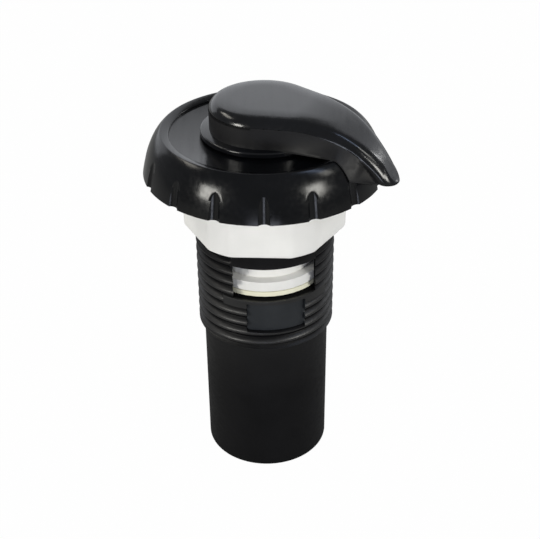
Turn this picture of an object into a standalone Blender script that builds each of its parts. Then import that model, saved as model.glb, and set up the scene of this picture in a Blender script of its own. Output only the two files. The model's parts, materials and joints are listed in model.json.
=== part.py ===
"""Air control valve for a spa air line: slip tail, threaded barrel, nut, scalloped cap and lever.

The lever turns the stem. A steep screw on the stem lifts a poppet that can't turn, off a seat in the barrel,
and air drawn in through the barrel's windows goes down the tail. The closed valve is modelled.

The frame is in metres, with +Z up along the valve's axis. The origin is level with the end of the tail, under
the middle of the closed valve's outline, so the axis stands a little to one side of it, away from the lever's
tip. The front window faces roughly -Y.
"""

import math

import bmesh
import bpy
from mathutils import Matrix, Vector

MM = 0.001
DEGREE = math.pi / 180

# Clearances
FIT = 0.3 * MM
LEVER_GAP = 0.45 * MM
END_PLAY = 0.6 * MM
STOP_PLAY = 1.5 * DEGREE

# Slip tail
TAIL_RADIUS = 21.1 * MM
TAIL_LENGTH = 52.4 * MM
TAIL_EDGE = 0.5 * MM
SOCKET_RADIUS = 16.8 * MM
SOCKET_DEPTH = 30.0 * MM
SOCKET_LEAD = 0.8 * MM

# Threaded barrel; its radius is the one over the thread's crests
BARREL_RADIUS = 22.9 * MM
BARREL_WALL = 2.9 * MM
BARREL_LENGTH = 56.3 * MM
BARREL_LEAD = 0.7 * MM
SEAT_RISE = 17.8 * MM
SEAT_LEDGE = 4.6 * MM
WINDOW_HEIGHT = 12.2 * MM
WINDOW_WIDTH = 26.9 * MM
WINDOW_DIRECTION = -80.5 * DEGREE
PANEL_SPAN = 49.0 * DEGREE
PANEL_HEIGHT = 12.6 * MM
PANEL_DEPTH = 1.4 * MM
PANEL_BELOW_SEAT = 1.3 * MM
FLANGE_THICKNESS = 3.0 * MM

# Gasket and nut; the gap is what is left for the wall
GASKET_INSET = 0.6 * MM
GASKET_THICKNESS = 2.0 * MM
NUT_WALL = 1.45 * MM
NUT_CORNER_WALL = 3.2 * MM
NUT_HEIGHT = 16.1 * MM
NUT_GAP = 2.5 * MM
NUT_CHAMFER = 0.9 * MM
NUT_TURN = -3.0 * DEGREE

# Cap: its outer face is a stretch of an ellipse, turned round the axis
CAP_COVER = 15.5 * MM
CAP_OVERHANG = 1.5 * MM
CAP_WALL = 2.0 * MM
DOME_SEMI_WIDTH = 9.69 * MM
DOME_SEMI_HEIGHT = 26.05 * MM
DOME_START = 26.1 * DEGREE
DOME_END = 73.2 * DEGREE
LAND_WIDTH = 2.9 * MM
LAND_DROP = 0.5 * MM
RECESS_DEPTH = 1.0 * MM
SNAP_BEAD = 0.8 * MM
SNAP_HOOK = 0.3 * MM
FLANGE_CLEARANCE = 1.8 * MM
SEAT_RING_INSET = 1.6 * MM
RING_WALL = 1.5 * MM
SCALLOP_COUNT = 16
SCALLOP_RADIUS = 2.24 * MM
SCALLOP_DEPTH = 0.95 * MM
SCALLOP_HEIGHT = 8.5 * MM
SCALLOP_LEAN = 10.0 * DEGREE

# Lever: a round head over the axis and an arm that tapers to a round tip; its top sweeps down in one arc
LEVER_DIRECTION = -28.0 * DEGREE
LEVER_TURN = 180.0 * DEGREE
HEAD_RADIUS = 17.0 * MM
HEAD_HEIGHT = 11.5 * MM
HEAD_FILLET = 3.5 * MM
BASE_RADIUS = 19.8 * MM
BASE_THICKNESS = 1.8 * MM
ARM_OVERHANG = 7.2 * MM
ARM_SWEEP_LEAD = 18.5 * MM
ARM_SWEEP_RADIUS = 35.3 * MM
TIP_RADIUS = 5.2 * MM
TIP_EDGE = 0.9 * MM
TIP_RISE = 4.8 * MM
CREASE_SLOPE = 1.22
CREASE_TAPER = 0.38

# Skirt of the lever: it flares from the arm down to the dome and ends in a round nose
SKIRT_ROOT_HALF = 14.2 * MM
SKIRT_TAPER = 0.093
SKIRT_OVERHANG = 0.9 * MM
SKIRT_NOSE_RADIUS = 17.8 * MM
SKIRT_EDGE = 1.0 * MM
SKIRT_RISE = 2.5 * MM
SKIRT_ARCH = 0.46

# Stem
STEM_RADIUS = 6.0 * MM
COLLAR_RADIUS = 9.0 * MM
COLLAR_THICKNESS = 2.3 * MM
LUG_REACH = 13.0 * MM
LUG_SPAN = 24.0 * DEGREE
DRIVE_RADIUS = 5.4 * MM
DRIVE_FLATS = 8.0 * MM
DRIVE_LENGTH = 7.5 * MM

# Bonnet
BONNET_SHARE = 0.6
BONNET_FLANGE = 2.0 * MM
BONNET_ROOF = 3.5 * MM
BONNET_SKIRT_WALL = 2.6 * MM
NECK_WALL = 2.3 * MM
STOP_WIDTH = 3.1 * MM
KEY_WIDTH = 4.0 * MM
KEY_HEIGHT = 6.0 * MM

# O-rings, by the diameter of their section
BONNET_RING_SECTION = 1.4 * MM
STEM_RING_SECTION = 1.4 * MM
STEM_RING_SPACING = 3.4 * MM

# Poppet and seal
LIFT = 9.0 * MM
SEAL_THICKNESS = 1.6 * MM
SEAL_WIDTH = 7.0 * MM
POPPET_FLANGE = 3.4 * MM
HUB_CLEARANCE = 3.5 * MM
HUB_WALL = 2.0 * MM
BOSS_WALL = 2.5 * MM
LIP_OVERHANG = 0.9 * MM
LIP_HEIGHT = 1.4 * MM

# Facets round a full turn
COARSE = 24
MEDIUM = 40
FINE = 64

# Heights along the axis, each from the ones before it
TAIL_TOP = TAIL_LENGTH
SEAT = TAIL_TOP + SEAT_RISE
FLANGE_BOTTOM = TAIL_TOP + BARREL_LENGTH
FLANGE_TOP = FLANGE_BOTTOM + FLANGE_THICKNESS
GASKET_TOP = FLANGE_BOTTOM - FIT
GASKET_BOTTOM = GASKET_TOP - GASKET_THICKNESS
NUT_TOP = GASKET_BOTTOM - NUT_GAP
NUT_BOTTOM = NUT_TOP - NUT_HEIGHT
CAP_BOTTOM = FLANGE_BOTTOM - CAP_OVERHANG
CHAMBER_RADIUS = BARREL_RADIUS - BARREL_WALL
PASSAGE_RADIUS = CHAMBER_RADIUS - SEAT_LEDGE
CAP_RADIUS = BARREL_RADIUS + CAP_COVER

DOME_CENTRE_RADIUS = CAP_RADIUS - DOME_SEMI_WIDTH * math.cos(DOME_START)
DOME_CENTRE_HEIGHT = CAP_BOTTOM - DOME_SEMI_HEIGHT * math.sin(DOME_START)
CREST_RADIUS = DOME_CENTRE_RADIUS + DOME_SEMI_WIDTH * math.cos(DOME_END)
CREST = DOME_CENTRE_HEIGHT + DOME_SEMI_HEIGHT * math.sin(DOME_END)
DISC_RADIUS = CREST_RADIUS - LAND_WIDTH
DISC_TOP = CREST - LAND_DROP - RECESS_DEPTH
DISC_BOTTOM = DISC_TOP - CAP_WALL
FLANGE_RADIUS = CAP_RADIUS - CAP_WALL - FLANGE_CLEARANCE
GASKET_RADIUS = FLANGE_RADIUS - GASKET_INSET
INNER_SHARE = (DISC_BOTTOM - DOME_CENTRE_HEIGHT) / (DOME_SEMI_HEIGHT - CAP_WALL)
INNER_CREST = DOME_CENTRE_RADIUS + (DOME_SEMI_WIDTH - CAP_WALL) * math.sqrt(1 - INNER_SHARE**2)
SEAT_RING_RADIUS = INNER_CREST - SEAT_RING_INSET - RING_WALL

BONNET_RADIUS = CHAMBER_RADIUS + BONNET_SHARE * (SEAT_RING_RADIUS - CHAMBER_RADIUS)
PRESS_RING_RADIUS = (CHAMBER_RADIUS + BONNET_RADIUS - RING_WALL) / 2
BONNET_BOTTOM = FLANGE_TOP + FIT
BONNET_TOP = BONNET_BOTTOM + BONNET_FLANGE
ROOF_BOTTOM = BONNET_TOP - BONNET_ROOF
NECK_TOP = DISC_TOP
STEM_BORE = STEM_RADIUS + FIT
NECK_RADIUS = STEM_BORE + NECK_WALL
SPIGOT_RADIUS = CHAMBER_RADIUS - FIT
SKIRT_INNER = SPIGOT_RADIUS - BONNET_SKIRT_WALL
COLLAR_TOP = ROOF_BOTTOM - FIT
COLLAR_BOTTOM = COLLAR_TOP - COLLAR_THICKNESS

SEAL_BOTTOM = SEAT + FIT
SEAL_TOP = SEAL_BOTTOM + SEAL_THICKNESS
POPPET_BOTTOM = SEAL_TOP + FIT
POPPET_TOP = POPPET_BOTTOM + POPPET_FLANGE
POPPET_RADIUS = CHAMBER_RADIUS - FIT
HUB_RADIUS = CHAMBER_RADIUS - HUB_CLEARANCE
SEAL_BORE = CHAMBER_RADIUS - SEAL_WIDTH
LIP_RADIUS = SEAL_BORE + LIP_OVERHANG
SKIRT_END = POPPET_TOP + LIFT + FIT
SCREW_FLOOR = POPPET_TOP + END_PLAY
STEM_END = SCREW_FLOOR + LIFT + END_PLAY
HUB_TOP = COLLAR_BOTTOM - LIFT - END_PLAY
KEY_BOTTOM = SKIRT_END + END_PLAY
KEY_TOP = KEY_BOTTOM + KEY_HEIGHT
SLOT_TOP = KEY_TOP + LIFT + END_PLAY

ARM_REACH = CAP_RADIUS + ARM_OVERHANG
SKIRT_REACH = CAP_RADIUS + SKIRT_OVERHANG
ARM_SWEEP_START = CREST_RADIUS - ARM_SWEEP_LEAD
LEVER_BOTTOM = DISC_TOP + FIT
LEVER_TOP = LEVER_BOTTOM + HEAD_HEIGHT
BASE_TOP = LEVER_BOTTOM + BASE_THICKNESS
SKIRT_BOTTOM = CAP_BOTTOM + SKIRT_RISE
TIP_BOTTOM = CAP_BOTTOM + TIP_RISE
KEY_DIRECTION = WINDOW_DIRECTION + math.pi / 2

# The valve's axis, set so that the outline's middle is over the origin
TIP_X = (ARM_REACH - TIP_RADIUS) * math.cos(LEVER_DIRECTION) + TIP_RADIUS
AXIS_X = min(0.0, (CAP_RADIUS - TIP_X) / 2)


def remove_everything():
    for obj in list(bpy.data.objects):
        bpy.data.objects.remove(obj, do_unlink=True)


def material(name, colour, roughness, metallic=0.0):
    made = bpy.data.materials.new(name)
    made.use_nodes = True
    shader = made.node_tree.nodes["Principled BSDF"]
    shader.inputs["Base Color"].default_value = (*colour, 1.0)
    shader.inputs["Roughness"].default_value = roughness
    shader.inputs["Metallic"].default_value = metallic
    return made


def add_object(name, bm, finish, parent=None):
    """A mesh made round the Z axis, set on the valve's axis."""
    bmesh.ops.recalc_face_normals(bm, faces=bm.faces)
    if bm.calc_volume(signed=True) < 0:
        bmesh.ops.reverse_faces(bm, faces=bm.faces)
    mesh = bpy.data.meshes.new(name)
    bm.to_mesh(mesh)
    bm.free()
    mesh.shade_smooth()
    mesh.set_sharp_from_angle(angle=35 * DEGREE)
    obj = bpy.data.objects.new(name, mesh)
    bpy.context.scene.collection.objects.link(obj)
    if finish:
        mesh.materials.append(finish)
    if parent:
        obj.parent = parent
        obj.location = (0, 0, -parent.location.z)
    else:
        obj.location = (AXIS_X, 0, 0)
    return obj


def add_guide(name, bm, parent=None):
    """A shape that only cuts or joins another one."""
    guide = add_object(name, bm, None, parent)
    guide.hide_render = True
    guide.display_type = "WIRE"
    return guide


def shape(target, guide, operation):
    step = target.modifiers.new(guide.name, "BOOLEAN")
    step.operation = operation
    step.object = guide
    step.solver = "EXACT"


def add_axis(name, height, turn=0.0):
    """An empty on the valve's axis, which carries the pieces that move together."""
    axis = bpy.data.objects.new(name, None)
    axis.location = (AXIS_X, 0, height)
    axis.rotation_euler = (0, 0, turn)
    bpy.context.scene.collection.objects.link(axis)
    return axis


def lathe(outline, facets):
    """Turn an outline of (radius, height) points once round the axis.

    An outline that starts and ends on the axis is closed by it; any other is closed by its own last side.
    """
    bm = bmesh.new()
    points = [bm.verts.new((radius, 0, height)) for radius, height in outline]
    sides = [bm.edges.new(pair) for pair in zip(points, points[1:])]
    if outline[0][0] > 0:
        sides.append(bm.edges.new((points[-1], points[0])))
    bmesh.ops.spin(
        bm,
        geom=points + sides,
        cent=(0, 0, 0),
        axis=(0, 0, 1),
        angle=2 * math.pi,
        steps=facets,
        use_merge=True,
    )
    bmesh.ops.remove_doubles(bm, verts=bm.verts, dist=0.001 * MM)
    return bm


def ring_section(radius, height, section, facets, sides=6):
    """A ring of round section, as an O-ring, centred on the axis."""
    half = section / 2
    outline = []
    for k in range(sides):
        angle = 2 * math.pi * k / sides
        outline.append((radius + half * math.cos(angle), height + half * math.sin(angle)))
    return lathe(outline, facets)


def prism(corners, bottom, top):
    """A flat outline of (x, y) corners, extruded from one height to another."""
    bm = bmesh.new()
    face = bm.faces.new([bm.verts.new((x, y, bottom)) for x, y in corners])
    grown = bmesh.ops.extrude_face_region(bm, geom=[face])
    raised = [item for item in grown["geom"] if isinstance(item, bmesh.types.BMVert)]
    bmesh.ops.translate(bm, verts=raised, vec=(0, 0, top - bottom))
    return bm


def sector(inner, outer, middle, span, bottom, top, steps=12):
    """A block between two radii, over a span of directions."""
    angles = [middle + span * (k / steps - 0.5) for k in range(steps + 1)]
    corners = [(outer * math.cos(a), outer * math.sin(a)) for a in angles]
    corners += [(inner * math.cos(a), inner * math.sin(a)) for a in reversed(angles)]
    return prism(corners, bottom, top)


def radial_bar(inner, outer, width, direction, bottom, top):
    """A straight bar that points away from the axis."""
    along = Vector((math.cos(direction), math.sin(direction)))
    across = Vector((-along.y, along.x)) * (width / 2)
    corners = [
        along * inner - across,
        along * outer - across,
        along * outer + across,
        along * inner + across,
    ]
    return prism([tuple(corner) for corner in corners], bottom, top)


def joined(parts):
    """Separate solids in one mesh."""
    bm = bmesh.new()
    for part in parts:
        scratch = bpy.data.meshes.new("scratch")
        part.to_mesh(scratch)
        part.free()
        bm.from_mesh(scratch)
        bpy.data.meshes.remove(scratch)
    return bm


def dome_point(angle, offset=0.0):
    """A point of the cap's outer ellipse, moved out along its normal."""
    normal = Vector((math.cos(angle) / DOME_SEMI_WIDTH, math.sin(angle) / DOME_SEMI_HEIGHT)).normalized()
    radius = DOME_CENTRE_RADIUS + DOME_SEMI_WIDTH * math.cos(angle)
    height = DOME_CENTRE_HEIGHT + DOME_SEMI_HEIGHT * math.sin(angle)
    return (radius + offset * normal.x, height + offset * normal.y)


def dome_outline(offset, steps):
    """The dome from its lower edge to its crest."""
    return [
        dome_point(DOME_START + (DOME_END - DOME_START) * k / steps, offset)
        for k in range(steps + 1)
    ]


def make_body(finish):
    outline = [
        (TAIL_RADIUS - TAIL_EDGE, 0),
        (TAIL_RADIUS, TAIL_EDGE),
        (TAIL_RADIUS, TAIL_TOP),
        (BARREL_RADIUS - BARREL_LEAD, TAIL_TOP),
        (BARREL_RADIUS, TAIL_TOP + BARREL_LEAD),
        (BARREL_RADIUS, FLANGE_BOTTOM),
        (FLANGE_RADIUS, FLANGE_BOTTOM),
        (FLANGE_RADIUS, FLANGE_TOP),
        (CHAMBER_RADIUS, FLANGE_TOP),
        (CHAMBER_RADIUS, SEAT),
        (PASSAGE_RADIUS, SEAT),
        (PASSAGE_RADIUS, SOCKET_DEPTH),
        (SOCKET_RADIUS, SOCKET_DEPTH),
        (SOCKET_RADIUS, SOCKET_LEAD),
        (SOCKET_RADIUS + SOCKET_LEAD, 0),
    ]
    body = add_object("body", lathe(outline, FINE), finish)
    reach = BARREL_RADIUS + BARREL_WALL
    window = radial_bar(-reach, reach, WINDOW_WIDTH, WINDOW_DIRECTION, SEAT, SEAT + WINDOW_HEIGHT)
    shape(body, add_guide("window_cutter", window), "DIFFERENCE")
    panel_top = SEAT - PANEL_BELOW_SEAT
    panel = sector(
        BARREL_RADIUS - PANEL_DEPTH,
        reach,
        WINDOW_DIRECTION,
        PANEL_SPAN,
        panel_top - PANEL_HEIGHT,
        panel_top,
    )
    shape(body, add_guide("panel_cutter", panel), "DIFFERENCE")
    return body


def make_gasket(finish):
    bore = BARREL_RADIUS + FIT
    outline = [
        (bore, GASKET_BOTTOM),
        (GASKET_RADIUS, GASKET_BOTTOM),
        (GASKET_RADIUS, GASKET_TOP),
        (bore, GASKET_TOP),
    ]
    return add_object("flange_gasket", lathe(outline, MEDIUM), finish)


def make_nut(finish):
    axis = add_axis("nut_axis", NUT_BOTTOM)
    bore = BARREL_RADIUS + FIT
    corner = bore + NUT_CORNER_WALL
    outline = [
        (bore + NUT_CHAMFER, NUT_BOTTOM),
        (corner - NUT_CHAMFER, NUT_BOTTOM),
        (corner, NUT_BOTTOM + NUT_CHAMFER),
        (corner, NUT_TOP - NUT_CHAMFER),
        (corner - NUT_CHAMFER, NUT_TOP),
        (bore, NUT_TOP),
        (bore, NUT_BOTTOM + NUT_CHAMFER),
    ]
    nut = add_object("mounting_nut", lathe(outline, FINE), finish, axis)
    hexagon_radius = (bore + NUT_WALL) / math.cos(math.pi / 6)
    hexagon = [
        (
            hexagon_radius * math.cos(NUT_TURN + k * math.pi / 3),
            hexagon_radius * math.sin(NUT_TURN + k * math.pi / 3),
        )
        for k in range(6)
    ]
    stock = prism(hexagon, NUT_BOTTOM - NUT_CHAMFER, NUT_TOP + NUT_CHAMFER)
    shape(nut, add_guide("nut_hexagon", stock, axis), "INTERSECT")
    return nut


def scallop_bars():
    """Round bars that lean with the dome and cut its scallops."""
    bars = []
    lean = Matrix.Rotation(-SCALLOP_LEAN, 4, "Y")
    foot = Vector((CAP_RADIUS - SCALLOP_DEPTH + SCALLOP_RADIUS / math.cos(SCALLOP_LEAN), 0, CAP_BOTTOM))
    for k in range(SCALLOP_COUNT):
        bar = bmesh.new()
        bmesh.ops.create_cone(
            bar,
            cap_ends=True,
            segments=20,
            radius1=SCALLOP_RADIUS,
            radius2=SCALLOP_RADIUS,
            depth=4 * SCALLOP_HEIGHT,
        )
        place = Matrix.Rotation(2 * math.pi * k / SCALLOP_COUNT, 4, "Z") @ Matrix.Translation(foot) @ lean
        bmesh.ops.transform(bar, matrix=place, verts=bar.verts)
        bars.append(bar)
    return joined(bars)


def make_cap(finish):
    dome = dome_outline(0.0, 10)
    shell = [point for point in dome_outline(-CAP_WALL, 6) if point[1] < DISC_BOTTOM]
    bead_top = FLANGE_BOTTOM - FIT
    bead_bottom = bead_top - SNAP_BEAD
    bead_radius = FLANGE_RADIUS - SNAP_HOOK
    shell = [point for point in shell if point[1] > bead_top + SNAP_BEAD]
    wall_radius = CAP_RADIUS - CAP_WALL
    hole = NECK_RADIUS + FIT
    press_outer = PRESS_RING_RADIUS + RING_WALL
    seat_outer = SEAT_RING_RADIUS + RING_WALL
    outline = dome + [
        (DISC_RADIUS, CREST - LAND_DROP),
        (DISC_RADIUS, DISC_TOP),
        (hole, DISC_TOP),
        (hole, DISC_BOTTOM),
        (PRESS_RING_RADIUS, DISC_BOTTOM),
        (PRESS_RING_RADIUS, BONNET_TOP + FIT),
        (press_outer, BONNET_TOP + FIT),
        (press_outer, DISC_BOTTOM),
        (SEAT_RING_RADIUS, DISC_BOTTOM),
        (SEAT_RING_RADIUS, FLANGE_TOP + FIT),
        (seat_outer, FLANGE_TOP + FIT),
        (seat_outer, DISC_BOTTOM),
    ]
    outline += list(reversed(shell))
    outline += [
        (wall_radius - SNAP_HOOK, bead_top + SNAP_BEAD),
        (bead_radius, bead_top),
        (bead_radius, bead_bottom),
        (wall_radius, bead_bottom),
        (wall_radius, CAP_BOTTOM),
    ]
    cap = add_object("cap", lathe(outline, FINE), finish)
    shape(cap, add_guide("scallop_cutter", scallop_bars()), "DIFFERENCE")
    return cap


def make_bonnet(finish, ring_finish):
    groove_bottom = SLOT_TOP + BONNET_RING_SECTION
    groove_top = groove_bottom + BONNET_RING_SECTION + 2 * FIT
    groove_radius = SPIGOT_RADIUS - BONNET_RING_SECTION - FIT
    outline = [
        (SKIRT_INNER, SKIRT_END),
        (SPIGOT_RADIUS, SKIRT_END),
        (SPIGOT_RADIUS, groove_bottom),
        (groove_radius, groove_bottom),
        (groove_radius, groove_top),
        (SPIGOT_RADIUS, groove_top),
        (SPIGOT_RADIUS, BONNET_BOTTOM),
        (BONNET_RADIUS, BONNET_BOTTOM),
        (BONNET_RADIUS, BONNET_TOP),
        (NECK_RADIUS, BONNET_TOP),
        (NECK_RADIUS, NECK_TOP),
        (STEM_BORE, NECK_TOP),
        (STEM_BORE, ROOF_BOTTOM),
        (SKIRT_INNER, ROOF_BOTTOM),
    ]
    bonnet = add_object("bonnet", lathe(outline, MEDIUM), finish)
    slots = [
        radial_bar(
            HUB_RADIUS,
            BARREL_RADIUS,
            KEY_WIDTH + 2 * FIT,
            KEY_DIRECTION + math.pi * k,
            SKIRT_END - KEY_HEIGHT,
            SLOT_TOP,
        )
        for k in range(2)
    ]
    shape(bonnet, add_guide("key_slot_cutter", joined(slots)), "DIFFERENCE")
    stop_span = 2 * math.pi - LEVER_TURN - LUG_SPAN - 2 * STOP_PLAY
    stop_outer = LUG_REACH + FIT
    stop = sector(
        stop_outer - STOP_WIDTH,
        stop_outer,
        LEVER_DIRECTION + LEVER_TURN / 2 + math.pi,
        stop_span,
        COLLAR_BOTTOM,
        ROOF_BOTTOM + BONNET_ROOF / 2,
    )
    shape(bonnet, add_guide("turn_stop", stop), "UNION")
    ring_radius = SPIGOT_RADIUS - BONNET_RING_SECTION / 2
    ring_height = (groove_bottom + groove_top) / 2
    ring = ring_section(ring_radius, ring_height, BONNET_RING_SECTION, MEDIUM)
    add_object("bonnet_o_ring", ring, ring_finish)
    return bonnet


def drive_outline(radius, flats):
    """A circle with two flats, the shape of the stem's end and of its socket in the lever."""
    half = flats / 2
    cut = math.asin(half / radius)
    corners = []
    for side in range(2):
        for k in range(7):
            angle = side * math.pi - cut + 2 * cut * k / 6
            corners.append((radius * math.cos(angle), radius * math.sin(angle)))
    return corners


def make_stem(axis, finish, ring_finish):
    groove_radius = STEM_RADIUS - STEM_RING_SECTION - FIT / 2
    groove_half = STEM_RING_SECTION / 2 + FIT
    middle = (COLLAR_TOP + NECK_TOP) / 2
    ring_heights = [middle - STEM_RING_SPACING / 2, middle + STEM_RING_SPACING / 2]
    outline = [
        (0, STEM_END),
        (STEM_RADIUS - END_PLAY, STEM_END),
        (STEM_RADIUS, STEM_END + END_PLAY),
        (STEM_RADIUS, COLLAR_BOTTOM),
        (COLLAR_RADIUS, COLLAR_BOTTOM),
        (COLLAR_RADIUS, COLLAR_TOP),
        (STEM_RADIUS, COLLAR_TOP),
    ]
    for height in ring_heights:
        outline += [
            (STEM_RADIUS, height - groove_half),
            (groove_radius, height - groove_half),
            (groove_radius, height + groove_half),
            (STEM_RADIUS, height + groove_half),
        ]
    outline += [(STEM_RADIUS, NECK_TOP), (0, NECK_TOP)]
    stem = add_object("stem", lathe(outline, COARSE), finish, axis)
    drive_top = LEVER_BOTTOM + DRIVE_LENGTH
    drive = prism(drive_outline(DRIVE_RADIUS, DRIVE_FLATS), NECK_TOP - END_PLAY, drive_top)
    shape(stem, add_guide("stem_drive", drive, axis), "UNION")
    lug = sector(STEM_RADIUS, LUG_REACH, 0.0, LUG_SPAN, COLLAR_BOTTOM, COLLAR_TOP, 4)
    shape(stem, add_guide("stem_lug", lug, axis), "UNION")
    names = ["stem_o_ring_lower", "stem_o_ring_upper"]
    for name, height in zip(names, ring_heights):
        ring_radius = STEM_RADIUS - STEM_RING_SECTION / 2
        ring = ring_section(ring_radius, height, STEM_RING_SECTION, COARSE)
        add_object(name, ring, ring_finish, axis)
    return stem


def make_poppet(finish, seal_finish):
    axis = add_axis("lift_axis", SEAT)
    spigot_radius = SEAL_BORE - FIT
    lip_top = SEAL_BOTTOM - FIT
    core = spigot_radius - HUB_WALL
    boss_radius = STEM_BORE + BOSS_WALL
    outline = [
        (0, POPPET_BOTTOM),
        (core, POPPET_BOTTOM),
        (core, lip_top - LIP_HEIGHT),
        (LIP_RADIUS - LIP_HEIGHT / 2, lip_top - LIP_HEIGHT),
        (LIP_RADIUS, lip_top - LIP_HEIGHT / 2),
        (LIP_RADIUS, lip_top),
        (spigot_radius, lip_top),
        (spigot_radius, POPPET_BOTTOM),
        (POPPET_RADIUS, POPPET_BOTTOM),
        (POPPET_RADIUS, POPPET_TOP),
        (HUB_RADIUS, POPPET_TOP),
        (HUB_RADIUS, HUB_TOP),
        (HUB_RADIUS - HUB_WALL, HUB_TOP),
        (HUB_RADIUS - HUB_WALL, POPPET_TOP),
        (boss_radius, POPPET_TOP),
        (boss_radius, HUB_TOP),
        (STEM_BORE, HUB_TOP),
        (STEM_BORE, SCREW_FLOOR),
        (0, SCREW_FLOOR),
    ]
    poppet = add_object("plunger", lathe(outline, MEDIUM), finish, axis)
    keys = [
        radial_bar(
            HUB_RADIUS - HUB_WALL / 2,
            SPIGOT_RADIUS - FIT,
            KEY_WIDTH,
            KEY_DIRECTION + math.pi * k,
            KEY_BOTTOM,
            KEY_TOP,
        )
        for k in range(2)
    ]
    shape(poppet, add_guide("plunger_keys", joined(keys), axis), "UNION")
    seal = [
        (SEAL_BORE, SEAL_BOTTOM),
        (POPPET_RADIUS, SEAL_BOTTOM),
        (POPPET_RADIUS, SEAL_TOP),
        (SEAL_BORE, SEAL_TOP),
    ]
    add_object("plunger_seal", lathe(seal, MEDIUM), seal_finish, axis)
    return poppet


def arm_top(x):
    """Height of the lever's top: flat over the head, then one arc down to the tip."""
    run = min(max(0.0, x - ARM_SWEEP_START), ARM_SWEEP_RADIUS)
    return max(LEVER_TOP - ARM_SWEEP_RADIUS + math.sqrt(ARM_SWEEP_RADIUS**2 - run**2), TIP_BOTTOM + TIP_EDGE)


def skirt_half(x):
    """Half width of the skirt: the head's circle, a soft neck, then a straight taper."""
    circle = math.sqrt(max(0.0, HEAD_RADIUS**2 - x**2))
    flank = SKIRT_ROOT_HALF - SKIRT_TAPER * (x - HEAD_RADIUS / 2)
    soft = HEAD_FILLET / 3
    return (circle + flank + math.sqrt((circle - flank) ** 2 + soft**2)) / 2


def nose_start():
    """Where the skirt's flank meets its nose."""
    centre = SKIRT_REACH - SKIRT_NOSE_RADIUS
    x = SKIRT_REACH
    for _ in range(8):
        x = centre + math.sqrt(SKIRT_NOSE_RADIUS**2 - skirt_half(x) ** 2)
    return x


def lever_outlines():
    """Half outlines of the lever's top and of its skirt, from the back of the head to the tip.

    Both are lists of (x, y) with x along the arm, point for point side by side. The top is a large and a small
    circle with their common tangent; normals are those of the top, pointing inward.
    """
    tip_centre = ARM_REACH - TIP_RADIUS
    tangent = math.acos((HEAD_RADIUS - TIP_RADIUS) / tip_centre)
    turn_off = Vector((math.cos(tangent), math.sin(tangent)))
    root = HEAD_RADIUS * turn_off
    end = Vector((tip_centre, 0)) + TIP_RADIUS * turn_off
    start = nose_start()
    top = []
    skirt = []
    normals = []
    head_steps = 14
    for k in range(head_steps):
        angle = math.pi - (math.pi - tangent) * k / head_steps
        out = Vector((math.cos(angle), math.sin(angle)))
        top.append(HEAD_RADIUS * out)
        skirt.append(HEAD_RADIUS * out)
        normals.append(-out)
    flank_steps = 10
    for k in range(flank_steps + 1):
        x = root.x + (start - root.x) * k / flank_steps
        share = (x - root.x) / (end.x - root.x)
        top.append(root.lerp(end, share))
        skirt.append(Vector((x, skirt_half(x))))
        normals.append(-turn_off)
    shoulder = top[-1]
    reach_steps = 5
    tip_steps = 6
    for k in range(1, reach_steps + 1):
        top.append(shoulder.lerp(end, k / reach_steps))
        normals.append(-turn_off)
    for k in range(1, tip_steps + 1):
        angle = tangent * (1 - k / tip_steps)
        out = Vector((math.cos(angle), math.sin(angle)))
        top.append(Vector((tip_centre, 0)) + TIP_RADIUS * out)
        normals.append(-out)
    nose_steps = reach_steps + tip_steps
    nose_half = skirt[-1].y
    for k in range(1, nose_steps + 1):
        y = nose_half * (1 - k / nose_steps)
        run = math.sqrt(SKIRT_NOSE_RADIUS**2 - y**2)
        skirt.append(Vector((SKIRT_REACH - SKIRT_NOSE_RADIUS + run, y)))
    return top, skirt, normals


def lever_rings():
    """Rings of the lever from the skirt's lower edge up to the edge of its flat top, as half outlines."""
    top, skirt, normals = lever_outlines()
    start = nose_start()
    crease_top = arm_top(start) - HEAD_FILLET
    low = []
    edge = []
    crease = []
    under = []
    fillets = []
    for at, foot, normal in zip(top, skirt, normals):
        arched = SKIRT_BOTTOM + SKIRT_ARCH * foot.y
        rim = max(envelope_height(foot.length), arched) + SKIRT_EDGE
        low.append(Vector((foot.x, foot.y, arched)))
        edge.append(Vector((foot.x, foot.y, rim)))
        past = at.x - start
        if past <= 0:
            fillet = HEAD_FILLET
            wall = Vector((at.x, at.y, arm_top(at.x) - fillet))
            share = 0.95 - 0.4 * min(1.0, -past / HEAD_RADIUS)
            crease.append(edge[-1].lerp(wall, share))
            under.append(edge[-1].lerp(wall, (1 + share) / 2))
        else:
            height = max(TIP_BOTTOM, crease_top - CREASE_SLOPE * past)
            tucked = at + normal * (TIP_EDGE / 2)
            half = min(tucked.y, max(at.y / 3, at.y - CREASE_TAPER * past))
            crease.append(Vector((at.lerp(foot, 0.3).x, half, height)))
            under.append(Vector((tucked.x, tucked.y, height)))
            fillet = min(HEAD_FILLET, 0.8 * (arm_top(at.x) - height))
        fillets.append(fillet)
    rings = [low, edge, crease, under]
    fillet_steps = 4
    for k in range(fillet_steps + 1):
        angle = math.pi / 2 * k / fillet_steps
        ring = []
        for at, normal, fillet in zip(top, normals, fillets):
            inset = at + normal * (fillet * (1 - math.cos(angle)))
            drop = fillet * (1 - math.sin(angle))
            ring.append(Vector((inset.x, max(inset.y, 0.0), arm_top(inset.x) - drop)))
        rings.append(ring)
    return rings


def envelope_height(radius):
    """Height of the surface that clears the cap by the lever's running gap."""
    if radius <= CREST_RADIUS:
        return CREST + LEVER_GAP
    share = min(1.0, (radius - LEVER_GAP - DOME_CENTRE_RADIUS) / DOME_SEMI_WIDTH)
    return DOME_CENTRE_HEIGHT + DOME_SEMI_HEIGHT * math.sqrt(1 - share**2)


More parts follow.
